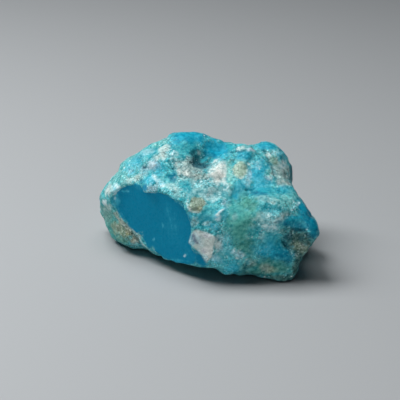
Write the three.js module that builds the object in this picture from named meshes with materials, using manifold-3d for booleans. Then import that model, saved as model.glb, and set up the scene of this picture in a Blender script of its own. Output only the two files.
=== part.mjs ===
// A raw turquoise nugget: one rough stone that lies on a small flat, with a window polished into its
// front left side and a quartz fragment set in its front.
// Millimetres, +Z up, +X along the stone's length, -Y towards the polished window.
import * as THREE from "three";
import { ConvexGeometry } from "three/addons/geometries/ConvexGeometry.js";
import { ImprovedNoise } from "three/addons/math/ImprovedNoise.js";
import { mergeVertices } from "three/addons/utils/BufferGeometryUtils.js";
import Module from "manifold-3d";

// The stone's half sizes, which spread the mesh evenly over it
const HALF_LENGTH = 24;
const HALF_DEPTH = 16;
const HALF_HEIGHT = 13.5;

// The stone's middle stands this far above the surface that it lies on
const MIDDLE_HEIGHT = 12;

// The broad sides of the stone: which way each one faces, and its distance from the stone's middle
const SIDES = [
  { name: "left end", facing: [-0.94, 0.16, 0.32], reach: 24 },
  { name: "left undercut", facing: [-0.88, -0.21, -0.42], reach: 23.4 },
  { name: "left shoulder", facing: [-0.65, 0.34, 0.68], reach: 21 },
  { name: "upper left", facing: [-0.48, 0.4, 0.78], reach: 18 },
  { name: "crown", facing: [0, 0.45, 0.89], reach: 17 },
  { name: "back slope", facing: [0.26, 0.44, 0.86], reach: 14.8 },
  { name: "saddle", facing: [0.65, 0.34, 0.68], reach: 15.6 },
  { name: "right shoulder", facing: [0.84, 0.25, 0.48], reach: 17.3 },
  { name: "nose undercut", facing: [0.78, -0.37, -0.51], reach: 22.1 },
  { name: "right undercut", facing: [0.91, -0.19, -0.38], reach: 23.5 },
  { name: "front undercut", facing: [-0.22, -0.44, -0.87], reach: 13.3 },
  { name: "left rim", facing: [-0.71, -0.69, -0.15], reach: 14.3 },
  { name: "left brow", facing: [-0.76, -0.2, 0.6], reach: 17.8 },
  { name: "window side", facing: [-0.59, -0.81, 0.05], reach: 12.8 },
  { name: "window brow", facing: [-0.4, -0.55, 0.73], reach: 11.9 },
  { name: "front slope", facing: [0.13, -0.49, 0.86], reach: 8.8 },
  { name: "right slope", facing: [0.3, -0.7, 0.65], reach: 13.6 },
  { name: "front right", facing: [0.05, -0.99, 0.06], reach: 11.5 },
  { name: "right end", facing: [0.75, -0.65, 0.1], reach: 25 },
  { name: "back", facing: [0, 1, 0], reach: 16.5 },
  { name: "back left", facing: [-0.62, 0.78, 0.1], reach: 23 },
  { name: "back right", facing: [0.62, 0.75, -0.2], reach: 18.5 },
  { name: "back undercut", facing: [0.1, 0.7, -0.7], reach: 17.5 },
  { name: "underside", facing: [0.05, 0.1, -0.99], reach: 12.4 },
];
const EDGE_ROUNDING = 2;

// Lumps that stand out of the broad form, and hollows that go into it: middle and half sizes
const LUMPS = [
  { name: "rear lobe", at: [11.8, 10.2, 15.2], half: [6.4, 6.8, 7.1] },
  { name: "left foot", at: [-17.2, 4.6, 4.6], half: [5, 5, 4.6] },
  { name: "front belly", at: [7.5, -6.4, 6.6], half: [7.5, 6.4, 6.4] },
  { name: "right foot", at: [16.4, -9, 1.6], half: [3, 3, 3.6] },
  { name: "nose", at: [20.8, -7.6, 10.1], half: [3.1, 2.9, 2.2] },
  { name: "front shoulder", at: [12.5, -7.2, 14], half: [6, 4.8, 4.4] },
  { name: "window knob", at: [-11.9, -3, 18.2], half: [2.1, 2, 1.9] },
];
const PITS = [
  { name: "shoulder hollow", at: [-12.4, 8.6, 24.4], half: [3.2, 5, 2.4] },
  { name: "rim notch", at: [-15.8, -2.6, 0.8], half: [2.4, 2.6, 2] },
  { name: "front hollow", at: [-2.8, -11.5, 0.4], half: [7.2, 5, 2.4] },
  { name: "foot notch", at: [7.6, -13.2, 0.4], half: [1.4, 2.4, 1.6] },
  { name: "crown pit", at: [-1.4, 1, 24.3], half: [2.9, 2.9, 3.5] },
  { name: "blue hollow", at: [2.2, 4, 26.4], half: [4.4, 3.2, 3.2] },
  { name: "nose pit", at: [18, -12.6, 8.8], half: [3.8, 2.6, 2.4] },
];
const LUMP_BLEND = 1.4;
const PIT_BLEND = 2.2;

// The stone's natural relief: broad swells, and small lumps with creases between them
const SWELL = { size: 7, height: 1.1 };
const CRUST = { size: 4.2, height: 0.55 };

// The polished window: the plane that was ground flat, and its outline there, across and up
const WINDOW = {
  facing: [-0.59, -0.81, 0.05],
  reach: 10.8,
  outline: [
    [-18.5, 0.5],
    [-13.5, 5],
    [-11, 5.5],
    [-9.5, 4.5],
    [-5, 5.5],
    [1.5, 4.5],
    [3.8, 0.5],
    [3.6, -2.5],
    [3.4, -5],
    [7, -8.5],
    [2.5, -11],
    [-4.5, -11],
    [-9.5, -8],
    [-15, -4],
  ],
  curveSteps: 56,
};

// Corners of the quartz fragment: its flat front face, the edge where it leaves the stone, and its root
const FRAGMENT = {
  face: [
    [-1.9, -12.8, 11.7],
    [1.1, -12.8, 11.1],
    [0.3, -12.5, 6.2],
    [-1.2, -12.5, 7.2],
  ],
  edge: [
    [-4.8, -12.4, 9.6],
    [-3.3, -12.3, 12.5],
    [-1.2, -12.2, 12.8],
    [1.6, -12, 11.9],
    [2.2, -11.6, 10],
    [1.5, -11.5, 6.3],
    [-0.9, -12, 4.8],
  ],
  root: [
    [-2, -8, 9],
    [1, -8, 9],
  ],
};

// Rows of triangles along each edge of the starting icosahedron
const MESH_ROWS = 20;

// Rounds that even out the mesh, and halvings of the search for the stone's surface along a ray
const EVEN_ROUNDS = 30;
const SEARCH_STEPS = 24;

const UP = new THREE.Vector3(0, 0, 1);
const middle = new THREE.Vector3(0, 0, MIDDLE_HEIGHT);
const noise = new ImprovedNoise();
const planes = SIDES.map(({ facing, reach }) => ({ normal: unit(facing), reach }));

function unit(facing) {
  return new THREE.Vector3(...facing).normalize();
}

// The larger of two depths, rounded where they meet
function roundedMax(a, b, rounding) {
  const overlap = Math.max(rounding - Math.abs(a - b), 0) / rounding;
  return Math.max(a, b) + (overlap * overlap * rounding) / 4;
}

const roundedMin = (a, b, rounding) => -roundedMax(-a, -b, rounding);

// How far a point lies outside the rounded block that the broad sides enclose
function blockDistance(point) {
  const place = point.clone().sub(middle);
  const depths = planes.map(({ normal, reach }) => place.dot(normal) - reach);
  return depths.reduce((a, b) => roundedMax(a, b, EDGE_ROUNDING));
}

// How far a point lies outside an ellipsoid, close to its surface
function ellipsoidDistance(point, { at, half }) {
  const sizes = new THREE.Vector3(...half);
  const stretched = point.clone().sub(new THREE.Vector3(...at)).divide(sizes);
  const share = stretched.length();
  const steepness = stretched.divide(sizes).length();
  return steepness > 0 ? (share * (share - 1)) / steepness : -Math.min(...half);
}

// Soft relief that repeats about every size millimetres, between -1 and 1
function noiseAt(point, size) {
  return noise.noise(point.x / size, point.y / size, point.z / size);
}

// How far the natural relief stands out at a point
function relief(point) {
  const swell = SWELL.height * noiseAt(point, SWELL.size);
  const lumps = CRUST.height * (2 * Math.abs(noiseAt(point, CRUST.size)) - 0.5);
  return swell + lumps;
}

// How far a point lies outside the whole rough stone
function stoneDistance(point) {
  let distance = blockDistance(point);
  for (const lump of LUMPS) {
    distance = roundedMin(distance, ellipsoidDistance(point, lump), LUMP_BLEND);
  }
  for (const pit of PITS) {
    distance = roundedMax(distance, -ellipsoidDistance(point, pit), PIT_BLEND);
  }
  return distance - relief(point);
}

// The place where a ray from the stone's middle leaves the stone
function surfacePoint(direction) {
  const place = (reach) => direction.clone().multiplyScalar(reach).add(middle);
  let inside = 0;
  let outside = 2 * HALF_LENGTH;
  for (let step = 0; step < SEARCH_STEPS; step += 1) {
    const halfway = (inside + outside) / 2;
    if (stoneDistance(place(halfway)) > 0) {
      outside = halfway;
    } else {
      inside = halfway;
    }
  }
  return place(inside);
}

// Only the corners of a geometry, each of them once
function bare(geometry) {
  geometry.deleteAttribute("normal");
  geometry.deleteAttribute("uv");
  return mergeVertices(geometry);
}

// The corners that share an edge with each corner of a closed mesh
function neighbours({ index, attributes }) {
  const near = Array.from({ length: attributes.position.count }, () => []);
  for (let i = 0; i < index.count; i += 3) {
    const [a, b, c] = [index.getX(i), index.getX(i + 1), index.getX(i + 2)];
    near[a].push(b);
    near[b].push(c);
    near[c].push(a);
  }
  return near;
}

// A closed mesh of the rough stone: an icosahedron drawn out to its surface, then evened out along it
function roughStone() {
  const geometry = bare(new THREE.IcosahedronGeometry(1, MESH_ROWS));
  const corners = geometry.getAttribute("position");
  const sizes = new THREE.Vector3(HALF_LENGTH, HALF_DEPTH, HALF_HEIGHT);
  const starts = Array.from({ length: corners.count }, (_, i) => {
    return new THREE.Vector3().fromBufferAttribute(corners, i).multiply(sizes);
  });
  let places = starts.map((start) => surfacePoint(start.normalize()));
  const near = neighbours(geometry);
  for (let round = 0; round < EVEN_ROUNDS; round += 1) {
    const middles = near.map((list) => {
      const sum = list.reduce((total, i) => total.add(places[i]), new THREE.Vector3());
      return sum.divideScalar(list.length);
    });
    places = middles.map((place) => surfacePoint(place.sub(middle).normalize()));
  }
  places.forEach((place, i) => corners.setXYZ(i, ...place.toArray()));
  return geometry;
}

// The space in front of the polished window, as a prism on its outline
function windowSpace() {
  const points = WINDOW.outline.map(([across, up]) => new THREE.Vector3(across, up, 0));
  const edge = new THREE.CatmullRomCurve3(points, true).getPoints(WINDOW.curveSteps);
  const shape = new THREE.Shape(edge.slice(1).map(({ x, y }) => new THREE.Vector2(x, y)));
  const prism = bare(new THREE.ExtrudeGeometry(shape, { depth: HALF_DEPTH, bevelEnabled: false }));
  const normal = unit(WINDOW.facing);
  const across = new THREE.Vector3().crossVectors(UP, normal).normalize();
  const up = new THREE.Vector3().crossVectors(normal, across);
  prism.translate(0, 0, WINDOW.reach);
  prism.applyMatrix4(new THREE.Matrix4().makeBasis(across, up, normal));
  return prism.translate(...middle.toArray());
}

// The quartz fragment, as the block that its corners enclose
function fragment() {
  const corners = [...FRAGMENT.face, ...FRAGMENT.edge, ...FRAGMENT.root];
  return bare(new ConvexGeometry(corners.map((corner) => new THREE.Vector3(...corner))));
}

// The space under the surface that the stone lies on
function groundSpace() {
  const side = 4 * HALF_LENGTH;
  return bare(new THREE.BoxGeometry(side, side, side)).translate(0, 0, -side / 2);
}

// Solids for cutting and joining
const wasm = await Module();
wasm.setup();

function solidOf({ index, attributes }) {
  return new wasm.Manifold(
    new wasm.Mesh({
      numProp: 3,
      vertProperties: attributes.position.array,
      triVerts: new Uint32Array(index.array),
    }),
  );
}

function geometryOf(solid) {
  const { vertProperties, triVerts } = solid.getMesh();
  const geometry = new THREE.BufferGeometry();
  geometry.setAttribute("position", new THREE.BufferAttribute(vertProperties, 3));
  geometry.setIndex(new THREE.BufferAttribute(triVerts, 1));
  return geometry;
}

// The finished stone, with its origin under the middle of its box
function finishedStone() {
  const windowed = solidOf(roughStone()).subtract(solidOf(windowSpace()));
  const whole = windowed.add(solidOf(fragment())).subtract(solidOf(groundSpace()));
  const geometry = geometryOf(whole);
  geometry.computeBoundingBox();
  const { min, max } = geometry.boundingBox;
  return geometry.translate(-(min.x + max.x) / 2, -(min.y + max.y) / 2, -min.z);
}

const material = new THREE.MeshStandardMaterial({ color: 0x2f93a8, roughness: 0.55, metalness: 0 });
const stone = new THREE.Mesh(finishedStone(), material);
stone.name = "nugget";

const nugget = new THREE.Group();
nugget.add(stone);

export default nugget;
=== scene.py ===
# The looks of a raw turquoise nugget: a sugary crust of turquoise and quartz, a polished window of plain
# deep blue and a quartz fragment, on a pale floor under soft light.
import math
from collections import namedtuple

import bpy
import numpy as np
from mathutils import Matrix, Vector, noise
from mathutils.bvhtree import BVHTree


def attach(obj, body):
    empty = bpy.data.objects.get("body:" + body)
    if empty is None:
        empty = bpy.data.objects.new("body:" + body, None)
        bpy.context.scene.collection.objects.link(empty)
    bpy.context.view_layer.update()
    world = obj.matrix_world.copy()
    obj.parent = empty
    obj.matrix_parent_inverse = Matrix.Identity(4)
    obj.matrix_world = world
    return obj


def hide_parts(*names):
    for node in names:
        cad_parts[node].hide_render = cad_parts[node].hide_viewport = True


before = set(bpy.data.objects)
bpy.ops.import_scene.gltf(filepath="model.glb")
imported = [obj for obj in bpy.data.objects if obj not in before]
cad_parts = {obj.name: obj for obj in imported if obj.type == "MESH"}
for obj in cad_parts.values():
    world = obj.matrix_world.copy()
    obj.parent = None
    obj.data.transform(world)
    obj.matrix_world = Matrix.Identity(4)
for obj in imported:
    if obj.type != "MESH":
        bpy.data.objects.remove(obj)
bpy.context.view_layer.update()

MM = 0.001
NODE = "nugget"
BODY = "root"

# The camera, in millimetres and pixels of the square photograph
PHOTO_SIDE = 400
LENS = 100
SENSOR = 36
ELEVATION = math.radians(27)
CAMERA_DISTANCE = 243.6
TARGET = Vector((0.73, -2.09, 12))
TARGET_PIXEL = (210, 206)
FOCAL = PHOTO_SIDE * LENS / SENSOR
PIXELS_PER_MM = FOCAL / CAMERA_DISTANCE
# Nothing is shown that is nearer to the camera than this, in metres
CLIP_START = 0.01

# The polished window's facing, as in the part, and how nearly its faces have it
WINDOW_FACING = Vector((-0.59, -0.81, 0.05)).normalized()
SAME_FACING = 0.9998

# The quartz fragment's outline in the photograph, how many millimetres it goes into the stone, and how many
# pixels wide its soft edge is
FRAGMENT_OUTLINE = (
    (188.7, 242.5), (190.5, 236), (193, 231.5), (196.5, 229.5), (205, 232), (213, 235), (216, 237.5),
    (213.5, 247), (211.3, 257.5), (206.5, 262.5), (203, 257.5), (200, 252.3), (194.5, 248),
)
FRAGMENT_DEPTH = 4
FRAGMENT_EDGE = 1

# The fine mesh of the stone: the size of its faces in millimetres, and how many times it is smoothed
VOXEL = 0.25
SMOOTH_ROUNDS = 10
# The share that a corner keeps of its own value when it is mixed with its neighbours'
OWN_SHARE = 0.5

# The noise in the stone: how fast its finer layers fade, how much finer each one is, and how many there are
NOISE_FADE = 0.8
NOISE_STEP = 2
FINE_LAYERS = 3
SOFT_LAYERS = 2
# How far off in millimetres each noise is taken that has to differ from the others
MOTTLE_SHIFT = 20
GRAININESS_SHIFT = 40
PATCH_SHIFT = 100

# The crust's relief: sizes and heights in millimetres
SWELL = {"size": 2.4, "height": 0.1}
GRAIN = {"size": 0.5, "height": 0.04}
# The lowest grains have this share of the usual height
LOWEST_GRAIN = 0.5
# How much higher the lightest parts of the crust stand than the darkest, and the mottle that stays level
MOTTLE_HEIGHT = 0.1
MOTTLE_MIDDLE = 0.5
# Spreads the places of neighbouring grains, so that their random numbers differ
CELL_SCATTER = 57.3
# Grains stand out inside this share of their size, and go in beyond it
CELL_LEVEL = 0.55

# Bumps and hollows: their middle and half sizes in the photograph's pixels, their turn in degrees clockwise
# and how many millimetres they stand out
Form = namedtuple("Form", "at half turn lift")
FORMS = (
    # The outline at the left and the right
    Form((103, 201), (5, 7), 0, 0.3),
    Form((103, 209), (5, 5), 0, 0.35),
    Form((102.5, 205), (4, 4), 0, 0.3),
    Form((110, 224), (8, 8), -20, 0.65),
    Form((112, 176), (5, 6), -40, 0.3),
    Form((302, 197), (5, 5), -25, 0.3),
    Form((309, 207), (4, 5), -25, -0.25),
    Form((312, 215), (4, 4), 0, 0.3),
    Form((288, 150), (7, 7), 0, 0.8),
    Form((316, 241), (6, 5), 0, -0.7),
    # The left slope
    Form((132, 166), (8, 6), -30, 0.35),
    Form((150, 151), (10, 3), -15, 0.3),
    Form((141, 159), (5, 4), -30, -0.4),
    Form((162, 152), (4, 10), 35, 0.35),
    Form((152, 165), (6, 4), 0, 0.25),
    Form((161, 170), (5, 6), 30, -0.4),
    Form((173, 154), (3, 6), 10, 0.25),
    Form((154, 181), (7, 5), 20, 0.4),
    # The pit, the quartz and the blue hollow
    Form((199, 160), (8, 9), 20, -0.5),
    Form((206, 160), (4, 2.5), -25, 0.4),
    Form((218, 172), (10, 10), -8, 0.5),
    Form((187, 172), (12, 8), 25, 0.3),
    Form((216, 149), (12, 7), 10, -0.3),
    Form((240, 170), (9, 9), 0, 0.2),
    Form((196.5, 204), (10, 9), 0, 0.25),
    # The middle
    Form((234, 198), (4, 10), 0, -0.45),
    Form((221, 211), (7, 2.5), -35, 0.35),
    Form((202, 222), (10, 7), 0, -0.3),
    Form((243, 221), (12, 22), 0, 0.3),
    # The right side, the nose and the hollow under it
    Form((268, 199), (9, 4), 10, 0.35),
    Form((272, 209.5), (12, 5), 5, -0.35),
    Form((270, 219), (13, 6), -15, 0.35),
    Form((295, 219), (8, 4.5), -15, 0.35),
    Form((298, 230), (9, 4), 8, -0.3),
    Form((288, 239), (7, 6), 0, -0.25),
    Form((313, 228), (6, 8), -20, 0.3),
    # The foot
    Form((275, 251), (14, 7), 12, 0.5),
    Form((240, 256), (6, 4), 0, 0.25),
    Form((246, 268), (5, 4), 0, -0.35),
    Form((265, 268), (6, 3), 0, 0.25),
)
# How far past their half sizes forms reach, as a share of these
FORM_EDGE = 0.3
# They also reach around the stone's edge, to where it faces away from the camera by this much
FORM_TURNED = -0.5

# Cracks and steps: the pixels that they run through, half their width in pixels and their depth in
# millimetres
Crack = namedtuple("Crack", "path half depth")
CRACKS = (
    Crack(((228, 152.8), (235, 152), (241, 151), (246, 150.8)), 1.6, 0.35),
    Crack(((265, 151), (268, 157), (272, 165), (275, 173), (277, 179), (279.5, 185)), 2.6, 0.3),
    Crack(((142, 166), (147, 168.5)), 1.6, 0.3),
    Crack(((170, 169), (178, 169)), 1.6, 0.3),
    Crack(((283, 240), (286, 245), (290, 250), (292, 257)), 1.8, 0.5),
    Crack(((246, 190), (256, 193), (268, 194.5)), 1.8, 0.3),
)

# What the stone looks like in places: its darkest and lightest colour, and how rough it is
Look = namedtuple("Look", "dark light rough")
LOOKS = {
    "crust": Look((30, 144, 158), (106, 196, 200), 1),
    "blue": Look((0, 138, 170), (16, 170, 198), 0.2),
    "deep": Look((0, 100, 130), (2, 140, 166), 0.2),
    "cyan": Look((44, 176, 202), (112, 212, 228), 0.35),
    "teal": Look((0, 126, 144), (42, 174, 186), 0.35),
    "mint": Look((62, 158, 158), (150, 210, 204), 0.9),
    "frost": Look((92, 172, 180), (204, 230, 230), 0.9),
    "quartz": Look((196, 210, 204), (242, 246, 240), 0.5),
    "cream": Look((152, 194, 192), (228, 238, 232), 0.65),
    "grey": Look((112, 134, 130), (190, 202, 196), 0.7),
    "smoke": Look((98, 136, 134), (172, 194, 190), 0.9),
    "lavender": Look((124, 172, 188), (204, 222, 230), 0.8),
    # dark and murk are also painted shade: in the pit, cracks, creases, under the nose and along the bottom
    "dark": Look((0, 56, 72), (12, 104, 120), 0.8),
    "murk": Look((16, 58, 58), (88, 122, 114), 0.95),
    "green": Look((56, 144, 136), (98, 182, 170), 0.2),
    "moss": Look((34, 108, 100), (86, 156, 142), 0.25),
    "olive": Look((92, 124, 102), (160, 180, 154), 0.85),
    "beige": Look((124, 140, 128), (196, 202, 190), 1),
    "brown": Look((120, 112, 62), (168, 160, 104), 0.8),
    "tan": Look((138, 166, 144), (178, 202, 184), 0.9),
    "bronze": Look((122, 142, 122), (158, 174, 154), 0.8),
    # White for bright grains, with a glint painted into their colour as a highlight
    "white_grain_and_glint": Look((204, 244, 248), (232, 255, 255), 0.6),
    "ice": Look((140, 214, 226), (232, 250, 252), 0.8),
    "window": Look((0, 130, 166), (4, 138, 174), 0),
    # A paler blue, also used as painted sheen: the window's faint streaks and a soft sheen over it
    "pale_blue_and_sheen": Look((30, 158, 188), (70, 184, 206), 0),
    "clear": Look((182, 204, 200), (218, 234, 230), 0.25),
    "pearl": Look((156, 162, 184), (232, 232, 242), 0.7),
    "dusk": Look((72, 98, 124), (132, 152, 174), 0.6),
}
# The mottle between a look's two colours: its size in millimetres, and the noise level that is lightest
MOTTLE = 0.7
MOTTLE_SPREAD = 2.5
# Grains come in patches of this size, and between them the stone is smoother by this share
PATCHY = 3
PATCHY_SMOOTH = 0.6

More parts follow.
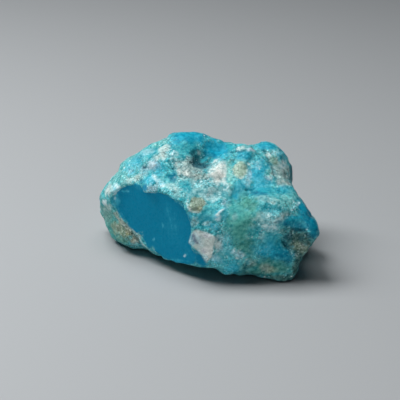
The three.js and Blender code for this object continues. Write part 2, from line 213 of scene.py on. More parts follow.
# Regions of the photograph: what they show, their middle and half sizes in pixels, their turn in degrees
# clockwise and how strongly they show it. Later ones lie over earlier ones.
Zone = namedtuple("Zone", "look at half turn strength")
CRUST_ZONES = (
    # The left slope
    Zone("mint", (127, 171), (26, 13), -42, 0.6),
    Zone("cyan", (132, 167), (8, 7), -30, 0.5),
    Zone("blue", (140, 158), (5, 5), 0, 0.35),
    Zone("blue", (137, 163), (5, 6), -25, 0.35),
    Zone("cyan", (130, 170), (5, 4), 0, 0.5),
    Zone("lavender", (131, 170.5), (3.5, 2.5), -30, 0.4),
    Zone("cyan", (149, 152), (8, 3), -12, 0.7),
    Zone("clear", (149, 151.5), (7, 2.2), -12, 0.4),
    Zone("teal", (151, 156.5), (5, 4), -10, 0.6),
    Zone("mint", (157, 145), (5, 3), -20, 0.7),
    Zone("mint", (165, 140.5), (6, 3), -25, 0.7),
    Zone("teal", (155, 149.5), (4, 1.5), -10, 0.5),
    Zone("teal", (178, 152), (12, 9), 20, 0.45),
    Zone("cream", (164, 151), (5, 8), 15, 0.75),
    Zone("cream", (158, 157), (5, 3.5), -20, 0.6),
    Zone("frost", (173, 155), (4, 6), 8, 0.5),
    Zone("lavender", (152, 165), (7, 5), 0, 0.85),
    Zone("lavender", (144, 172), (4, 6), 10, 0.4),
    # Painted shade in a crack
    Zone("dark", (144.5, 167.5), (1.6, 1.6), 0, 0.7),
    Zone("blue", (160, 169), (6, 7), 30, 0.5),
    Zone("teal", (168, 168), (5, 8), 0, 0.25),
    # Painted shade in a crack
    Zone("dark", (174, 169), (3.5, 1.6), 0, 0.6),
    Zone("deep", (173, 176), (3.5, 5), 0, 0.95),
    # The crown, the pit and the blue hollow
    Zone("blue", (188, 137), (17, 7), 0, 0.9),
    Zone("blue", (175, 141), (5, 5), 0, 0.4),
    Zone("teal", (190, 147), (12, 4), 5, 0.6),
    Zone("blue", (216, 148), (14, 9), 10, 1),
    Zone("cyan", (219, 146), (11, 6), 10, 0.15),
    Zone("deep", (209, 155), (5, 3), 0, 0.85),
    Zone("teal", (232, 148), (5, 4), 0, 0.85),
    Zone("cream", (241, 148), (5, 2), -15, 0.7),
    Zone("lavender", (252, 149.8), (6, 1.6), 2, 0.9),
    Zone("blue", (244, 156), (9, 4.5), 0, 0.7),
    # Quartz on the top
    Zone("grey", (190, 170), (14, 10), 25, 0.75),
    Zone("beige", (201, 176), (7, 4), 20, 0.35),
    Zone("smoke", (184, 163), (3, 2.5), 0, 0.4),
    Zone("quartz", (186.5, 173), (4, 2.5), 0, 0.6),
    Zone("quartz", (178.5, 171), (1.7, 3.5), 0, 0.6),
    Zone("quartz", (218.5, 173), (9.5, 10), -8, 1),
    Zone("mint", (229.5, 176), (3, 15), 0, 0.95),
    # The dark pit behind it: painted shade in its hollow and along the quartz's edge
    Zone("smoke", (189, 160), (4, 5), 0, 0.5),
    Zone("dark", (199, 160), (8, 9), 20, 0.6),
    Zone("dark", (193, 153), (3, 3), 0, 0.8),
    Zone("dark", (196, 163), (4, 4), 0, 0.7),
    Zone("grey", (198.5, 153), (2, 3), 0, 0.5),
    Zone("teal", (205, 160), (4, 2.5), -20, 0.8),
    Zone("dark", (205, 166), (6.5, 3), -10, 0.7),
    # Around the first inclusion, and the blue beside it
    Zone("blue", (260, 174), (12, 12), 0, 0.7),
    Zone("mint", (240, 161), (8, 2.2), 0, 0.4),
    Zone("lavender", (249.5, 174), (2, 5), 20, 0.4),
    Zone("lavender", (247, 182), (4, 5), 0, 0.4),
    Zone("cyan", (262, 183), (11, 5), 0, 0.65),
    Zone("cyan", (257, 185), (8, 2.5), -10, 0.6),
    Zone("frost", (257, 164.5), (5, 4), 0, 0.3),
    Zone("mint", (269, 173), (4, 4), 40, 0.85),
    Zone("lavender", (268, 178), (4, 2), 0, 0.4),
    Zone("blue", (257, 190), (13, 3), 0, 0.6),
    Zone("deep", (258, 193.5), (12, 2.5), 0, 0.7),
    # The rear lobe
    Zone("blue", (268, 146), (11, 4), 8, 0.8),
    Zone("cyan", (263, 147), (4, 2), 0, 0.3),
    Zone("smoke", (281, 171), (9, 14), -10, 0.9),
    Zone("olive", (274, 160), (4, 5), -15, 0.6),
    Zone("frost", (274, 152.5), (6, 2.5), 5, 0.4),
    Zone("cream", (268, 155), (2.5, 3), 20, 0.8),
    Zone("cyan", (283, 156), (5, 3.5), 25, 0.75),
    Zone("teal", (281.5, 158), (4, 3), 20, 0.6),
    Zone("ice", (283, 165), (4, 4.5), 0, 0.6),
    Zone("dark", (291, 175), (1.7, 11), 0, 0.8),
    Zone("grey", (286, 183), (6, 2), 10, 0.6),
    # The middle
    Zone("frost", (205, 190), (24, 9), 10, 0.4),
    Zone("teal", (186, 186), (6, 5), 20, 0.85),
    Zone("frost", (210, 195), (9, 6), 0, 0.7),
    Zone("frost", (226, 187), (4, 5), 0, 0.6),
    Zone("blue", (235, 197), (4, 8), 0, 0.85),
    Zone("cyan", (241, 187), (5, 8), 15, 0.8),
    Zone("lavender", (225, 203), (4, 3), -30, 0.5),
    Zone("teal", (228, 215), (6, 10), 0, 0.6),
    Zone("cyan", (227, 216), (5, 9), 0, 0.4),
    Zone("lavender", (218, 217.5), (3, 3), 0, 0.7),
    Zone("teal", (201, 222), (10, 9), 0, 0.5),
    Zone("cyan", (203, 218), (9, 5), 0, 0.4),
    Zone("frost", (194, 222), (4, 4), 0, 0.6),
    Zone("frost", (207, 223), (4, 2), 0, 0.6),
    Zone("cyan", (214, 227), (5, 4), 0, 0.8),
    # The green front
    Zone("green", (243, 222), (15, 25), 0, 0.9),
    Zone("moss", (246, 204), (8, 6), 0, 0.5),
    Zone("teal", (251, 234), (5, 7), 0, 0.5),
    Zone("moss", (247, 248), (9, 9), 0, 0.6),
    Zone("teal", (237, 211), (6, 6), 0, 0.3),
    Zone("pearl", (235, 217), (2.5, 4), 25, 0.18),
    Zone("mint", (246.5, 236.5), (2, 3), 0, 0.5),
    # The pale grains right of it
    Zone("mint", (286, 201), (12, 9), 0, 0.5),
    Zone("frost", (268, 220), (14, 9), -15, 0.6),
    Zone("grey", (266, 199), (9, 3.5), 12, 0.3),
    Zone("teal", (272, 209), (12, 4.5), 5, 0.6),
    Zone("moss", (251, 204), (5, 7), 0, 0.55),
    Zone("smoke", (285, 214), (5, 3), -20, 0.5),
    Zone("frost", (281, 218), (7, 3), -25, 0.5),
    Zone("teal", (258, 230), (4, 6), 0, 0.6),
    Zone("frost", (271, 229), (8, 3.5), 0, 0.65),
    Zone("ice", (270, 227), (7, 3), 0, 0.45),
    Zone("blue", (283, 190), (9, 4), -5, 0.6),
    Zone("teal", (272, 191), (17, 4), 5, 0.4),
    # The nose and the hollow under it, where dark and murk are painted shade over a dark speckled crust
    Zone("deep", (309, 217), (8, 20), -24, 0.95),
    Zone("blue", (304, 206), (4.5, 6), -20, 0.7),
    Zone("blue", (294, 220), (8, 4), -10, 0.8),
    Zone("murk", (299, 242), (13, 15), 0, 0.95),
    Zone("deep", (295, 225), (14, 4), 10, 0.85),
    Zone("teal", (294, 220), (7, 4), -10, 0.35),
    Zone("deep", (313, 229), (5, 8), -20, 0.9),
    Zone("dark", (299, 230), (7, 2.2), 8, 0.9),
    Zone("dark", (287, 236), (5, 4), -30, 0.7),
    Zone("dark", (302, 238), (3, 3), 0, 0.5),
    Zone("murk", (286, 230), (6, 3), -20, 0.5),
    Zone("olive", (300, 248), (8, 5), 20, 0.5),
    Zone("beige", (304, 246), (5, 3), 30, 0.3),
    # The foot
    Zone("teal", (271, 242), (10, 9), 0, 0.8),
    Zone("cyan", (270, 241), (8, 7), 0, 0.35),
    Zone("blue", (274, 252), (18, 8), 12, 0.85),
    Zone("cyan", (265, 249), (8, 5), 0, 0.4),
    Zone("deep", (282, 256), (9, 6), 20, 0.7),
    Zone("deep", (288, 260), (4.5, 7), 15, 0.8),
    # Painted shadow in the crease at the foot's right
    Zone("dark", (285, 245), (3.2, 5), -30, 0.9),
    Zone("frost", (262, 236), (3, 6), 0, 0.35),
    Zone("cyan", (223.5, 247), (6, 12), 0, 0.5),
    Zone("mint", (224, 247), (6, 13), 0, 0.65),
    Zone("cyan", (227, 246), (5, 11), 0, 0.4),
    Zone("lavender", (218.5, 244), (4, 7), 8, 0.5),
    Zone("clear", (217, 244), (3, 6), 8, 0.75),
    Zone("cyan", (215, 259), (9, 4), 15, 0.6),
    Zone("ice", (214, 258), (7, 3.5), 15, 0.5),
    Zone("moss", (268, 268), (23, 9), 0, 0.8),
    Zone("cyan", (230, 266), (7, 8), 35, 0.6),
    Zone("teal", (229, 263), (10, 7), 30, 0.45),
    Zone("blue", (234, 269), (5, 5), 0, 0.5),
    Zone("smoke", (251, 263), (6, 3), 0, 0.4),
    # Painted shade in the hollow low on the foot
    Zone("murk", (246, 269), (5, 5), 0, 0.5),
    Zone("lavender", (240, 255), (5, 4), 0, 0.5),
    Zone("ice", (233.5, 251.5), (2.5, 2.2), 0, 0.8),
    Zone("beige", (267, 269), (6.5, 3.5), 20, 0.5),
    Zone("olive", (273, 270.5), (4.5, 3), 10, 0.5),
    # This and the next are painted shade along the bottom edge, by the floor
    Zone("dark", (262, 276.5), (10, 2), 5, 0.5),
    Zone("murk", (282, 278), (16, 4.5), 0, 0.8),
    Zone("murk", (297, 262), (3.5, 13), 12, 0.8),
    # The left rim
    Zone("green", (109, 222), (9, 21), -18, 0.8),
    Zone("beige", (107, 214), (5, 9), -20, 0.25),
    Zone("cream", (108, 208), (4, 4), 0, 0.5),
    Zone("olive", (117, 228), (5, 9), -25, 0.6),
    Zone("olive", (124, 232), (11, 7), 42, 0.9),
    Zone("brown", (129, 233), (3, 3), 0, 0.6),
    Zone("beige", (135, 240), (4, 5), 30, 0.8),
    Zone("brown", (132, 238.5), (3, 3.5), -30, 0.3),
    Zone("moss", (122, 242), (8, 3.5), 20, 0.7),
    Zone("beige", (117.5, 228), (2.5, 6), -25, 0.4),
    # Painted shade in the gap beside the window's rim
    Zone("murk", (131.5, 233), (2.5, 5), -35, 0.35),
    # White grains and ledges over the window
    Zone("cream", (108.5, 189), (4, 5.5), 0, 0.9),
    Zone("ice", (116, 189), (4, 5), 0, 0.8),
    Zone("white_grain_and_glint", (104.5, 202.5), (2, 3), 10, 1),
    Zone("cream", (131, 180), (8, 2.5), -20, 0.45),
    Zone("beige", (139, 177.5), (4, 3), 0, 0.4),
    Zone("deep", (142.5, 181.5), (3, 2), 0, 0.7),
    Zone("cyan", (150, 180), (5, 4.5), 0, 0.9),
    # This and the next are white crystals with painted glints
    Zone("ice", (158.5, 181), (2.5, 7), -45, 0.7),
    Zone("ice", (162, 184.5), (3, 3), 0, 0.6),
    Zone("lavender", (151, 188.5), (6.5, 4), 5, 0.6),
    Zone("cream", (171, 186.5), (7, 3), 15, 0.4),
    Zone("smoke", (178, 194), (4.5, 5), 40, 0.4),
    # Where the window's blue goes on past its flat
    Zone("window", (199.5, 259), (9, 5.5), 40, 1),
    Zone("window", (145, 187.5), (2.5, 3), 0, 0.9),
    Zone("window", (121, 213), (1.8, 8), -31, 0.9),
    Zone("window", (130.5, 226), (1.8, 4), -40, 0.8),
    Zone("window", (189.5, 219), (2, 7), 0, 0.8),
    Zone("pale_blue_and_sheen", (114, 202), (2.5, 5), 0, 0.8),
)
WINDOW_ZONES = (
    Zone("pale_blue_and_sheen", (115, 202), (4, 6), 0, 1),
    Zone("cyan", (115.5, 203), (3.5, 5), 0, 0.3),
    Zone("pale_blue_and_sheen", (178, 200.5), (9, 2.5), 40, 0.6),
    Zone("pale_blue_and_sheen", (140, 186), (6, 3), 0, 0.3),
    # A faint painted sheen over the window
    Zone("pale_blue_and_sheen", (172, 224), (6, 18), -12, 0.12),
    Zone("mint", (152.5, 249), (2.5, 2.5), 0, 0.7),
)
FRAGMENT_ZONES = (
    Zone("pale_blue_and_sheen", (190.5, 238), (3.5, 7), -15, 0.6),
    Zone("lavender", (198, 239), (4, 7), -25, 0.5),
    Zone("ice", (191, 244), (2, 4), -35, 0.7),
    Zone("pearl", (208, 236), (7, 2.5), 18, 0.45),
    Zone("pearl", (205, 251), (4, 3.5), -15, 0.5),
    Zone("quartz", (209, 246), (4.5, 9), 8, 0.6),
    Zone("ice", (205, 258), (2.2, 4.5), -25, 0.7),
)
INCLUSIONS = (
    Zone("tan", (240, 170), (7.2, 8), 0, 0.9),
    Zone("bronze", (197, 204.5), (8.4, 7.8), 0, 0.9),
    Zone("brown", (200, 208), (3.5, 2.5), -20, 0.3),
)
# How soft the edges of regions are and how far they wander, as shares of their half sizes
ZONE_EDGE = 0.5
ZONE_RAGGED = 0.18
INCLUSION_EDGE = 0.2
INCLUSION_RAGGED = 0.08

# Lines in the photograph: what they show, the pixels that they run through, half their width in pixels and
# how strongly they show it
Line = namedtuple("Line", "look path half strength")
LINES = (
    # This and the next are painted shade in cracks: along the ledge, and between the lobe and the body
    Line("dark", ((229, 152.5), (235, 152), (241, 150.8), (245, 150.8)), 0.6, 0.5),
    Line("dark", ((265, 151), (267, 157), (271, 165), (274, 172), (276, 178), (279, 184)), 1.2, 0.35),
    # A painted highlight: a white streak along a ridge, with a cyan halo and a pale tail
    Line("cyan", ((216, 215), (220, 211.8), (224, 209)), 2.4, 0.5),
    Line("white_grain_and_glint", ((216.8, 214.6), (220, 211.8), (223, 209.5)), 1.2, 1),
    Line("frost", ((223, 209.5), (227, 206), (229.5, 202.5)), 1.8, 0.3),
    # Painted glints
    Line("ice", ((172.5, 155), (174, 150.5)), 0.7, 1),
    # This and the next are painted shade in two small cracks
    Line("dark", ((143.2, 167.2), (145.2, 167)), 0.9, 0.9),
    Line("dark", ((171.5, 169), (176, 168.5)), 0.8, 0.7),
    Line("cream", ((268, 201), (274, 203.5)), 0.8, 0.5),
    # Painted glints along a ridge
    Line("ice", ((300, 202), (298.4, 203), (296.6, 206), (293.6, 207), (292, 210)), 0.9, 0.6),
    Line("cream", ((248.5, 163.5), (250.7, 166.5), (251.6, 168.8)), 0.9, 0.7),
    Line("cream", ((247.3, 169.8), (246, 173), (243.5, 176.5), (240, 178)), 0.6, 0.6),
    Line("cream", ((188.5, 198), (187, 203), (188, 208), (192, 211.5), (198, 212.4)), 0.8, 0.65),
    Line("beige", ((115, 213), (119, 219), (124, 224), (129, 229)), 1.6, 0.7),
    Line("cream", ((132, 230), (134, 231.5), (138, 236), (141, 240.5), (145, 246), (151, 251.5)),
         0.9, 0.65),
    # Painted shade in the gap along the window's rim
    Line("murk", ((131, 232), (136, 237), (140, 243)), 0.8, 0.6),
    Line("mint", ((151, 251.5), (157, 255.5), (163, 258.5)), 1, 0.7),
    # Painted glints on a white crystal
    Line("cream", ((236.5, 257.5), (240, 259.5), (247, 259.3)), 0.8, 0.6),
    Line("frost", ((291.5, 250), (292, 254)), 0.7, 0.7),
)
WINDOW_LINES = (
    Line("cyan", ((122.5, 191.4), (128.5, 191.2)), 0.7, 0.8),
    Line("ice", ((184.5, 256), (185.3, 255.2)), 0.5, 0.9),
    Line("pale_blue_and_sheen", ((186, 255), (193, 247)), 0.6, 0.6),
    # This and the next two are painted glints on the polished window
    Line("white_grain_and_glint", ((114.8, 197.5), (114.8, 198.6)), 0.7, 0.5),
    Line("cyan", ((162.3, 223), (162.6, 227)), 0.5, 0.6),
    Line("cyan", ((153.5, 239.5), (154.5, 239)), 0.7, 0.5),
    # This and the next are faint streaks of painted sheen, partly fine scratches
    Line("pale_blue_and_sheen", ((167, 209), (170, 219), (172, 231)), 0.6, 0.35),
    Line("pale_blue_and_sheen", ((174, 213), (175.5, 225), (177, 235)), 0.6, 0.3),
    Line("mint", ((139, 232), (142, 232)), 0.5, 0.5),
    Line("mint", ((139.5, 235), (142.5, 235.5)), 0.5, 0.5),
    Line("pale_blue_and_sheen", ((163, 258.5), (172, 260.3), (188, 261.3)), 0.8, 0.6),
    Line("crust", ((147, 191.5), (156, 191.8), (165, 193), (172, 198), (181, 204.5), (187, 210)), 0.5, 0.6),
    Line("crust", ((190.5, 216), (191, 224), (191.5, 229)), 0.6, 0.6),
)
FRAGMENT_LINES = (
    Line("quartz", ((213, 243.5), (212.3, 250), (211.3, 257)), 0.7, 0.7),
    Line("dusk", ((193, 234.5), (193.8, 237.5), (195, 240.5), (197.5, 243)), 0.9, 0.8),
    # This and the next are painted glints along the fragment's ridge and lower edge
    Line("white_grain_and_glint", ((195, 232), (197, 236), (199, 240.5), (202, 246)), 0.6, 0.6),
    Line("ice", ((197.5, 248.5), (201, 252.8), (203, 257)), 0.6, 0.6),
)
# How soft the edges of lines are, how far they wander and how near to a line its places are, in pixels
LINE_EDGE = 0.5
LINE_RAGGED = 0.4
LINE_REACH = 6
# How many times longer in depth than across the picture a grain or a line's width may be
LINE_STRETCH = 2

# Single bright grains in the photograph, painted white with a highlight, and half their width in pixels
GLINTS = (
    (129.7, 160.5), (124, 167.4), (129.3, 165.4), (164.3, 139.6), (155.5, 144.9), (171, 158.1),
    (204.2, 135.4), (194.9, 183.3), (227.9, 187.4), (259.3, 169.2), (268.5, 153.5), (279.7, 177.6),
    (293.4, 202.5), (299.3, 203.2), (307, 229.4), (264.5, 276.8), (291.4, 276.8), (252, 237),
    (233.8, 250.8),
)
GLINT_HALF = 0.6

# The window's edge: how many rounds soften it, the level where its colour ends, how far that wanders and
# how soft it is
WINDOW_ROUNDS = 6
WINDOW_LEVEL = 0.5
WINDOW_RAGGED = 0.13
WINDOW_EDGE = 0.12

# How regions find their part of the stone: how many half sizes they reach in depth, how many millimetres
# that takes to end, and how squarely the stone faces the camera
REGION_REACH = 2
REACH_EDGE = 0.6
SHOWN_FACING = 0.12
# The size of the wobble in the edges of regions and lines, in millimetres
WOBBLE = 1.3

# Keeps the height of an outline's side from being zero
TINY = 1e-9

# The material: sugary grains and dust lighter and darker than the colour around them, and bright sparkles,
# glints painted into their colour
SUGAR = 0.28
SUGAR_CONTRAST = 0.36
DUST = 0.16
DUST_LEVELS = (0.3, 0.7)
DUST_CONTRAST = 0.35
PATTERN_DETAIL = 3
SPARKLE_START = 0.82
SPARKLE_GAMMA = 0.4
# Faint upright streaks in the window, a painted sheen with fine scratches: how often they come in a
# millimetre each way, the noise levels where they begin and where they show most, and how much that is
STREAK_TIMES = (1.8, 1.8, 0.15)
STREAK_LEVELS = (0.52, 0.8)
STREAK_SHARE = 0.2
STREAK_COLOUR = (0.03, 0.36, 0.48)
# How the surface takes light: the roughness of its glossiest and dullest grains, its shine, the light that
# scatters under it and its fine bumps, in millimetres
GLOSS = (0.25, 0.6)
SPECULAR = 0.08
SCATTER_SHARE = 0.3
SCATTER_RADIUS = (1, 1, 1)
SCATTER_DEPTH = 0.4
BUMP_STRENGTH = 0.3
BUMP_DEPTH = 0.08

# Patches on the sides that the photograph doesn't show: the noise level where each begins, and its size
Patch = namedtuple("Patch", "look start size")
HIDDEN_PATCHES = (
    Patch("green", 0.6, 9),
    Patch("blue", 0.4, 7),
    Patch("mint", 0.6, 5),
    Patch("frost", 0.9, 4),
    Patch("olive", 1.5, 6),
    Patch("grey", 1.5, 4.5),
    Patch("cream", 1.6, 4),
    Patch("dark", 1.5, 3.5),
)
PATCH_EDGE = 0.6
PATCH_STRENGTH = 0.8

# The floor and the light, in metres, degrees and watts
FLOOR_SIDE = 6
FLOOR_DROP = 0.02 * MM
FLOOR_COLOUR = (0.525, 0.548, 0.565)
FLOOR_ROUGHNESS = 0.8
Lamp = namedtuple("Lamp", "name at lean wide deep power")
FLOOR_LAMPS = (
    Lamp("key", (-0.28, 0.08, 0.43), -48, 0.45, 0.23, 3.15),
    Lamp("top", (0.08, 0.07, 0.65), -40, 0.28, 0.28, 0.6),
)
# This one lights only the stone, as a reflector in front of it would, and its light goes no farther
STONE_LAMPS = (Lamp("fill", (-0.1, -0.5, 0.3), 60, 0.6, 0.6, 1.45),)
STONE_LAMP_BOUNCES = 0
WORLD_COLOUR = (0.75, 0.9, 1)
WORLD_STRENGTH = 0.034


def linear(red, green, blue):
    """A colour as the eye sees it, from 0 to 255, as light by the sRGB curve."""
    shares = [value / 255 for value in (red, green, blue)]
    return [share / 12.92 if share <= 0.04045 else ((share + 0.055) / 1.055) ** 2.4 for share in shares]


def ramp(values, low, high):
    """0 below low, 1 above high, and smooth in between. With low above high it falls."""
    share = np.clip((values - low) / (high - low), 0, 1)
    return share * share * (3 - 2 * share)


def camera_axes():
    """The camera's place in millimetres, and the ways that are right, up and forward in its picture."""
    back = Vector((0, -math.cos(ELEVATION), math.sin(ELEVATION)))
    right = Vector((1, 0, 0))
    up = back.cross(right)
    place = TARGET + CAMERA_DISTANCE * back
    across, down = (PHOTO_SIDE / 2 - value for value in TARGET_PIXEL)
    forward = (TARGET + (across * right - down * up) / PIXELS_PER_MM - place).normalized()
    right = forward.cross(Vector((0, 0, 1))).normalized()
    return place, right, right.cross(forward), forward


CAMERA_PLACE, VIEW_RIGHT, VIEW_UP, VIEW_FORWARD = camera_axes()


def photo_places(points):
    """Where points in millimetres show in the photograph, in pixels, and how far from the camera."""
    offsets = points - np.array(CAMERA_PLACE)
    depth = offsets @ np.array(VIEW_FORWARD)
    across = offsets @ np.array(VIEW_RIGHT) / depth * FOCAL + PHOTO_SIDE / 2
    down = PHOTO_SIDE / 2 - offsets @ np.array(VIEW_UP) / depth * FOCAL
    return across, down, depth


def shown_place(tree, pixel):
    """The place on the stone that a pixel of the photograph shows, or the stone's part nearest to there."""
    across, down = (value - PHOTO_SIDE / 2 for value in pixel)
    way = (VIEW_FORWARD * FOCAL + VIEW_RIGHT * across - VIEW_UP * down).normalized()
    place = tree.ray_cast(CAMERA_PLACE, way)[0]
    return place or tree.find_nearest(CAMERA_PLACE + way * CAMERA_DISTANCE)[0]


def noise_levels(points, size, layers):
    """Soft noise at points that changes about every size millimetres, with mean 0 and spread 1."""
    places = [Vector(point) for point in points / size]
    values = np.array([noise.fractal(place, NOISE_FADE, NOISE_STEP, layers) for place in places])
    return (values - values.mean()) / values.std()


def cell_values(points, size):
    """How far points are from the nearest middles of random cells, and a random number of each cell."""
    distances, numbers = [], []
    for point in points / size:
        near, middles = noise.voronoi(Vector(point))
        distances.append(near[0])
        numbers.append(noise.cell(middles[0] * CELL_SCATTER))
    return np.array(distances), np.array(numbers)


def mesh_arrays(mesh):
    """A mesh's corner places, corner normals and edges."""
    places = np.empty(3 * len(mesh.vertices))
    mesh.vertices.foreach_get("co", places)
    normals = np.empty(3 * len(mesh.vertices))
    mesh.vertices.foreach_get("normal", normals)
    edges = np.empty(2 * len(mesh.edges), int)
    mesh.edges.foreach_get("vertices", edges)
    return places.reshape(-1, 3), normals.reshape(-1, 3), edges.reshape(-1, 2)


def put_places(mesh, places):
    mesh.vertices.foreach_set("co", places.ravel())
    mesh.update()


def averaged(values, edges):
    """Values at corners, mixed with those of the corners along their edges."""
    sums = np.zeros_like(values)
    np.add.at(sums, edges[:, 0], values[edges[:, 1]])
    np.add.at(sums, edges[:, 1], values[edges[:, 0]])
    counts = np.bincount(edges.ravel(), minlength=len(values))
    shape = (-1,) + (1,) * (values.ndim - 1)
    return OWN_SHARE * values + (1 - OWN_SHARE) * sums / counts.reshape(shape)


def inside(outline, across, down):
    """Whether places in the picture lie within an outline."""
    result = np.zeros(len(across), bool)
    for (x0, y0), (x1, y1) in zip(outline, outline[1:] + outline[:1]):
        crosses = (y0 > down) != (y1 > down)
        result ^= crosses & (across < (x1 - x0) * (down - y0) / (y1 - y0 + TINY) + x0)
    return result


def fine_copy():
    """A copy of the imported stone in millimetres, with small and even faces."""
    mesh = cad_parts[NODE].data.copy()
    mesh.name = "nugget_fine"
    mesh.materials.clear()
    mesh.transform(Matrix.Scale(1 / MM, 4))
    stone = bpy.data.objects.new("turquoise_nugget", mesh)
    bpy.context.scene.collection.objects.link(stone)
    modifier = stone.modifiers.new("fine", "REMESH")
    modifier.mode = "VOXEL"
    modifier.voxel_size = VOXEL
    graph = bpy.context.evaluated_depsgraph_get()
    fine = bpy.data.meshes.new_from_object(stone.evaluated_get(graph))
    stone.modifiers.clear()
    stone.data = fine
    return stone, mesh


def ray_tree(mesh):
    """A mesh's faces, sorted so that what a line of sight meets is found fast."""
    corners = [corner.co for corner in mesh.vertices]
    return BVHTree.FromPolygons(corners, [face.vertices for face in mesh.polygons])


def window_weights(cad_mesh, tree, places):
    """Which corners lie on the polished window, and the window's plane."""
    faces = [face for face in cad_mesh.polygons if face.normal.dot(WINDOW_FACING) > SAME_FACING]
    numbers = {face.index for face in faces}
    largest = max(faces, key=lambda face: face.area)
    reach = largest.center.dot(WINDOW_FACING)
    near = [tree.find_nearest(Vector(place))[2] for place in places]
    return np.array([float(number in numbers) for number in near]), reach


def line_distance(path, across, down):
    """How far places in the picture are from a line through these pixels."""
    nearest = np.full(len(across), np.inf)
    for (x0, y0), (x1, y1) in zip(path, path[1:]):
        length = math.hypot(x1 - x0, y1 - y0) or 1
        along = ((across - x0) * (x1 - x0) + (down - y0) * (y1 - y0)) / length
        along = np.clip(along, 0, length) / length
        apart = np.hypot(across - x0 - along * (x1 - x0), down - y0 - along * (y1 - y0))
        nearest = np.minimum(nearest, apart)
    return nearest


def path_pixels(path):
    """Pixels all along a path, no more than one pixel apart."""
    pixels = [path[0]]
    for (x0, y0), (x1, y1) in zip(path, path[1:]):
        steps = math.ceil(math.hypot(x1 - x0, y1 - y0))
        shares = [(step + 1) / steps for step in range(steps)]
        pixels += [(x0 + (x1 - x0) * share, y0 + (y1 - y0) * share) for share in shares]
    return pixels


class View:
    """How the photograph's camera sees places on the stone."""

    def __init__(self, tree, places, normals):
        self.tree = tree
        self.places = places
        self.across, self.down, self.depth = photo_places(places)
        to_camera = np.array(CAMERA_PLACE) - places
        to_camera /= np.linalg.norm(to_camera, axis=1)[:, None]
        self.facing = np.einsum("ij,ij->i", normals, to_camera)

    def near(self, pixel, reach):
        """1 for places about as far from the camera as the stone is at this pixel, and 0 farther off."""
        middle = (shown_place(self.tree, pixel) - CAMERA_PLACE).dot(VIEW_FORWARD)
        return ramp(np.abs(self.depth - middle), reach + REACH_EDGE, reach)

    def radius(self, region):
        """How far places are from a region's middle, where 1 is on its edge."""
        turn = math.radians(region.turn)
        x, y = self.across - region.at[0], self.down - region.at[1]
        along = (x * math.cos(turn) + y * math.sin(turn)) / region.half[0]
        aside = (y * math.cos(turn) - x * math.sin(turn)) / region.half[1]
        return np.hypot(along, aside)

    def near_region(self, region):
        return self.near(region.at, REGION_REACH * max(region.half) / PIXELS_PER_MM)

    def path_distance(self, path):
        """How far places are from a line over the stone in pixels, and not much less than that in depth."""
        apart = line_distance(path, self.across, self.down)
        close = np.flatnonzero(apart < LINE_REACH)
        spots = np.array([shown_place(self.tree, pixel) for pixel in path_pixels(path)])
        gaps = np.linalg.norm(self.places[close][:, None] - spots, axis=2).min(axis=1)
        apart[close] = np.maximum(apart[close], gaps * PIXELS_PER_MM / LINE_STRETCH)
        return apart


def form_heights(view):
    """How far bumps stand out, and hollows and cracks go in, in millimetres."""
    heights = np.zeros(len(view.depth))
    for form in FORMS:
        heights += form.lift * ramp(view.radius(form), 1 + FORM_EDGE, 0) * view.near_region(form)
    for crack in CRACKS:
        heights -= crack.depth * ramp(view.path_distance(crack.path), crack.half, 0)
    return heights * ramp(view.facing, FORM_TURNED, 0)


class Painter:
    """Lays looks over the stone's corners. A coat's columns are red, green, blue and roughness."""

    def __init__(self, view):
        places = view.places
        self.view = view
        self.shown = ramp(view.facing, -SHOWN_FACING, SHOWN_FACING)
        self.wobble = noise_levels(places, WOBBLE, FINE_LAYERS)
        level = noise_levels(places + MOTTLE_SHIFT, MOTTLE, FINE_LAYERS)
        self.mottle = ramp(level, -MOTTLE_SPREAD, MOTTLE_SPREAD)
        level = noise_levels(places + GRAININESS_SHIFT, PATCHY, SOFT_LAYERS)
        self.graininess = 1 - PATCHY_SMOOTH * ramp(level, -1, 1)
        self.coat = self.tint("crust")

    def tint(self, name):
        look = LOOKS[name]
        dark = np.array([*linear(*look.dark), look.rough])
        light = np.array([*linear(*look.light), look.rough])
        return dark + self.mottle[:, None] * (light - dark)

    def lay(self, name, weight):
        self.coat += weight[:, None] * (self.tint(name) - self.coat)

    def zones(self, zones, allowed, edge=ZONE_EDGE, ragged=ZONE_RAGGED):
        for zone in zones:
            radius = self.view.radius(zone) + ragged * self.wobble
            weight = zone.strength * ramp(radius, 1 + edge, 1 - edge)
            self.lay(zone.look, weight * self.view.near_region(zone) * self.shown * allowed)

    def lines(self, lines, allowed):
        for line in lines:
            apart = self.view.path_distance(line.path) + LINE_RAGGED * self.wobble
            weight = line.strength * ramp(apart, line.half + LINE_EDGE, line.half - LINE_EDGE)
            self.lay(line.look, weight * self.shown * allowed)

    def glints(self, allowed):
        # Paints a white glint, a painted highlight, at each bright grain
        for pixel in GLINTS:
            apart = self.view.path_distance((pixel, pixel))
            self.lay("white_grain_and_glint", ramp(apart, GLINT_HALF + LINE_EDGE, GLINT_HALF - LINE_EDGE) * allowed)

    def ragged_window(self, window, edges):
        """Where the window shows its own colour: it wanders a little about the edge of its flat."""
        for _ in range(WINDOW_ROUNDS):
            window = averaged(window, edges)
        level = window + WINDOW_RAGGED * self.wobble
        return ramp(level, WINDOW_LEVEL - WINDOW_EDGE, WINDOW_LEVEL + WINDOW_EDGE)

    def patches(self):
        for number, patch in enumerate(HIDDEN_PATCHES, 1):
            level = noise_levels(self.view.places + PATCH_SHIFT * number, patch.size, FINE_LAYERS)
            weight = PATCH_STRENGTH * ramp(level, patch.start, patch.start + PATCH_EDGE)
            self.lay(patch.look, weight * (1 - self.shown))


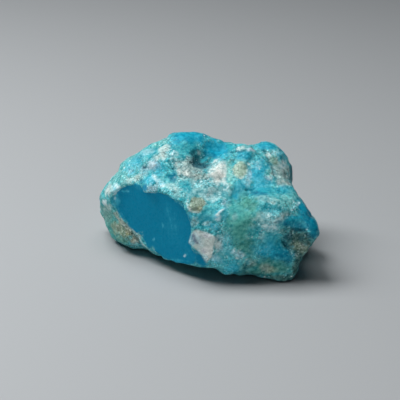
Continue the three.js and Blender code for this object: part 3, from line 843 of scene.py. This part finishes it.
def relief(places, mottle):
    """How far the crust's swells, light parts and grains stand out at each corner."""
    near, number = cell_values(places, GRAIN["size"])
    heights = GRAIN["height"] * (CELL_LEVEL - near) * (LOWEST_GRAIN + number)
    heights += SWELL["height"] * noise_levels(places, SWELL["size"], SOFT_LAYERS)
    return heights + MOTTLE_HEIGHT * (mottle - MOTTLE_MIDDLE)


def fragment_weights(view):
    """How much each corner belongs to the quartz fragment."""
    outline = FRAGMENT_OUTLINE + FRAGMENT_OUTLINE[:1]
    apart = line_distance(outline, view.across, view.down)
    apart *= np.where(inside(FRAGMENT_OUTLINE, view.across, view.down), 1, -1)
    close = view.near(np.mean(FRAGMENT_OUTLINE, axis=0), FRAGMENT_DEPTH)
    return ramp(apart, -FRAGMENT_EDGE, FRAGMENT_EDGE) * close * ramp(view.facing, 0, SHOWN_FACING)


def put_values(mesh, name, values):
    layer = mesh.attributes.new(name, "FLOAT", "POINT")
    layer.data.foreach_set("value", values.astype(np.float32))


def put_colours(mesh, name, colours):
    layer = mesh.color_attributes.new(name, "FLOAT_COLOR", "POINT")
    rows = np.column_stack((colours, np.ones(len(colours))))
    layer.data.foreach_set("color", rows.ravel().astype(np.float32))


def shape_stone(mesh, cad_mesh):
    """Smooths the mesh around its flats and lifts its forms. Gives the window's and all flats' weights."""
    tree = ray_tree(cad_mesh)
    places, normals, edges = mesh_arrays(mesh)
    window, reach = window_weights(cad_mesh, tree, places)
    flat = np.maximum(window, fragment_weights(View(tree, places, normals)))
    moving = (1 - flat)[:, None]
    for _ in range(SMOOTH_ROUNDS):
        places = moving * averaged(places, edges) + (1 - moving) * places
    facing = np.array(WINDOW_FACING)
    places -= window[:, None] * (places @ facing - reach)[:, None] * facing
    put_places(mesh, places)
    places, normals, edges = mesh_arrays(mesh)
    heights = form_heights(View(tree, places, normals))
    put_places(mesh, places + (heights * (1 - flat))[:, None] * normals)
    return window, flat


def paint_stone(view, window, edges):
    """Lays all the looks on the stone. Gives the painter, and how much of the window each corner shows."""
    fragment = fragment_weights(view)
    painter = Painter(view)
    painted = painter.ragged_window(window, edges)
    crust = (1 - painted) * (1 - fragment)
    painter.patches()
    painter.zones(CRUST_ZONES, crust)
    painter.zones(INCLUSIONS, crust, INCLUSION_EDGE, INCLUSION_RAGGED)
    painter.lines(LINES, crust)
    painter.glints(crust)
    painter.lay("window", painted)
    painter.zones(WINDOW_ZONES, painted)
    painter.lines(WINDOW_LINES, painted)
    painter.lay("clear", fragment)
    painter.zones(FRAGMENT_ZONES, fragment)
    painter.lines(FRAGMENT_LINES, fragment)
    return painter, painted


def make_stone():
    """The nugget's fine mesh, with its relief and with its looks as values at its corners."""
    stone, cad_mesh = fine_copy()
    mesh = stone.data
    window, flat = shape_stone(mesh, cad_mesh)
    bpy.data.meshes.remove(cad_mesh)
    places, normals, edges = mesh_arrays(mesh)
    painter, painted = paint_stone(View(ray_tree(mesh), places, normals), window, edges)
    rough = painter.coat[:, 3] * painter.graininess
    places += (relief(places, painter.mottle) * rough * (1 - flat))[:, None] * normals
    places[:, 2] = np.maximum(places[:, 2], 0)
    put_places(mesh, places * MM)
    put_colours(mesh, "colour", painter.coat[:, :3])
    put_values(mesh, "rough", rough)
    put_values(mesh, "window", painted)
    return stone


def add_node(tree, kind, inputs=None, **settings):
    """A new node with these settings. An input is a value or another node's output."""
    made = tree.nodes.new(kind)
    for name, value in settings.items():
        setattr(made, name, value)
    for key, value in (inputs or {}).items():
        if isinstance(value, bpy.types.NodeSocket):
            tree.links.new(value, made.inputs[key])
        else:
            made.inputs[key].default_value = value
    return made


class Pattern:
    """Short names for the nodes of one material."""

    def __init__(self, tree):
        self.tree = tree
        coordinates = add_node(tree, "ShaderNodeTexCoord").outputs["Object"]
        self.places = self.vector("SCALE", {0: coordinates, "Scale": 1 / MM})

    def attribute(self, name, output):
        return add_node(self.tree, "ShaderNodeAttribute", attribute_name=name).outputs[output]

    def noise(self, places, size=1):
        inputs = {"Vector": places, "Scale": 1 / size, "Detail": PATTERN_DETAIL}
        return add_node(self.tree, "ShaderNodeTexNoise", inputs).outputs["Fac"]

    def cells(self, size):
        return add_node(self.tree, "ShaderNodeTexVoronoi", {"Vector": self.places, "Scale": 1 / size})

    def math(self, operation, first, second):
        return add_node(self.tree, "ShaderNodeMath", {0: first, 1: second}, operation=operation).outputs[0]

    def vector(self, operation, inputs):
        return add_node(self.tree, "ShaderNodeVectorMath", inputs, operation=operation).outputs[0]

    def ramp(self, value, levels, results=(0, 1)):
        inputs = {"Value": value, "From Min": levels[0], "From Max": levels[1]}
        inputs |= {"To Min": results[0], "To Max": results[1]}
        kind = "SMOOTHSTEP"
        return add_node(self.tree, "ShaderNodeMapRange", inputs, interpolation_type=kind).outputs["Result"]

    def mix(self, share, first, second):
        inputs = {0: share, 6: first, 7: second}
        return add_node(self.tree, "ShaderNodeMix", inputs, data_type="RGBA").outputs[2]


def stone_colour(pattern, rough, number, other):
    """The corners' colours, with grains, dust and painted glints where rough, and streaks of painted sheen.
    """
    colour = pattern.attribute("colour", "Color")
    sugar = pattern.ramp(number, (0, 1), (-SUGAR_CONTRAST, SUGAR_CONTRAST))
    dust = pattern.noise(pattern.places, DUST)
    dust = pattern.ramp(dust, DUST_LEVELS, (-DUST_CONTRAST, DUST_CONTRAST))
    change = pattern.math("MULTIPLY", pattern.math("ADD", sugar, dust), rough)
    colour = pattern.vector("SCALE", {0: colour, "Scale": pattern.math("ADD", change, 1)})
    # Sparkles: random grains brightened, glints painted into the colour
    bright = add_node(pattern.tree, "ShaderNodeGamma", {"Color": colour, "Gamma": SPARKLE_GAMMA}).outputs[0]
    sparkle = pattern.math("MULTIPLY", pattern.ramp(other, (SPARKLE_START, 1)), rough)
    colour = pattern.mix(sparkle, colour, bright)
    # Streaks of painted sheen in the window
    stretched = pattern.vector("MULTIPLY", {0: pattern.places, 1: STREAK_TIMES})
    streak = pattern.ramp(pattern.noise(stretched), STREAK_LEVELS, (0, STREAK_SHARE))
    streak = pattern.math("MULTIPLY", streak, pattern.attribute("window", "Fac"))
    return pattern.mix(streak, colour, (*STREAK_COLOUR, 1))


def stone_material():
    """Turquoise with quartz grains, in the colours at the stone's corners."""
    material = bpy.data.materials.new("turquoise_stone")
    material.use_nodes = True
    tree = material.node_tree
    shader = tree.nodes["Principled BSDF"]
    pattern = Pattern(tree)
    rough = pattern.attribute("rough", "Fac")
    grains = pattern.cells(SUGAR)
    split = add_node(tree, "ShaderNodeSeparateColor", {0: grains.outputs["Color"]})
    number, other = split.outputs[0], split.outputs[1]
    tree.links.new(stone_colour(pattern, rough, number, other), shader.inputs["Base Color"])
    tree.links.new(pattern.ramp(number, (0, 1), GLOSS), shader.inputs["Roughness"])
    shader.inputs["Specular IOR Level"].default_value = SPECULAR
    shader.inputs["Subsurface Weight"].default_value = SCATTER_SHARE
    shader.inputs["Subsurface Radius"].default_value = SCATTER_RADIUS
    shader.inputs["Subsurface Scale"].default_value = SCATTER_DEPTH * MM
    height = pattern.math("MULTIPLY", grains.outputs["Distance"], rough)
    inputs = {"Height": height, "Strength": BUMP_STRENGTH, "Distance": BUMP_DEPTH * MM}
    bump = add_node(tree, "ShaderNodeBump", inputs, invert=True)
    tree.links.new(bump.outputs["Normal"], shader.inputs["Normal"])
    return material


def make_floor():
    half = FLOOR_SIDE / 2
    mesh = bpy.data.meshes.new("floor")
    corners = [(-half, -half, 0), (half, -half, 0), (half, half, 0), (-half, half, 0)]
    mesh.from_pydata(corners, [], [(0, 1, 2, 3)])
    floor = bpy.data.objects.new("floor", mesh)
    floor.location.z = -FLOOR_DROP
    bpy.context.scene.collection.objects.link(floor)
    material = bpy.data.materials.new("floor_paper")
    material.use_nodes = True
    shader = material.node_tree.nodes["Principled BSDF"]
    shader.inputs["Base Color"].default_value = (*FLOOR_COLOUR, 1)
    shader.inputs["Roughness"].default_value = FLOOR_ROUGHNESS
    mesh.materials.append(material)


def make_lamp(lamp):
    data = bpy.data.lights.new(lamp.name, "AREA")
    data.shape = "RECTANGLE"
    data.size = lamp.wide
    data.size_y = lamp.deep
    data.energy = lamp.power
    light = bpy.data.objects.new(lamp.name, data)
    light.location = lamp.at
    light.rotation_euler.x = math.radians(lamp.lean)
    bpy.context.scene.collection.objects.link(light)
    return light


def make_lights(stone):
    for lamp in FLOOR_LAMPS:
        make_lamp(lamp)
    stone_only = bpy.data.collections.new("stone_only")
    stone_only.objects.link(stone)
    for lamp in STONE_LAMPS:
        light = make_lamp(lamp)
        light.light_linking.receiver_collection = stone_only
        light.data.cycles.max_bounces = STONE_LAMP_BOUNCES
    world = bpy.data.worlds.new("studio")
    world.use_nodes = True
    background = world.node_tree.nodes["Background"]
    background.inputs["Color"].default_value = (*WORLD_COLOUR, 1)
    background.inputs["Strength"].default_value = WORLD_STRENGTH
    bpy.context.scene.world = world


def make_camera():
    data = bpy.data.cameras.new("camera")
    data.lens = LENS
    data.sensor_width = SENSOR
    data.clip_start = CLIP_START
    camera = bpy.data.objects.new("camera", data)
    bpy.context.scene.collection.objects.link(camera)
    axes = Matrix((VIEW_RIGHT, VIEW_UP, -VIEW_FORWARD)).transposed().to_4x4()
    camera.matrix_world = Matrix.Translation(CAMERA_PLACE * MM) @ axes
    bpy.context.scene.camera = camera


stone = make_stone()
stone.data.materials.append(stone_material())
stone.data.shade_smooth()
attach(stone, BODY)
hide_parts(NODE)
make_floor()
make_lights(stone)
make_camera()
bpy.context.scene.view_settings.view_transform = "Standard"
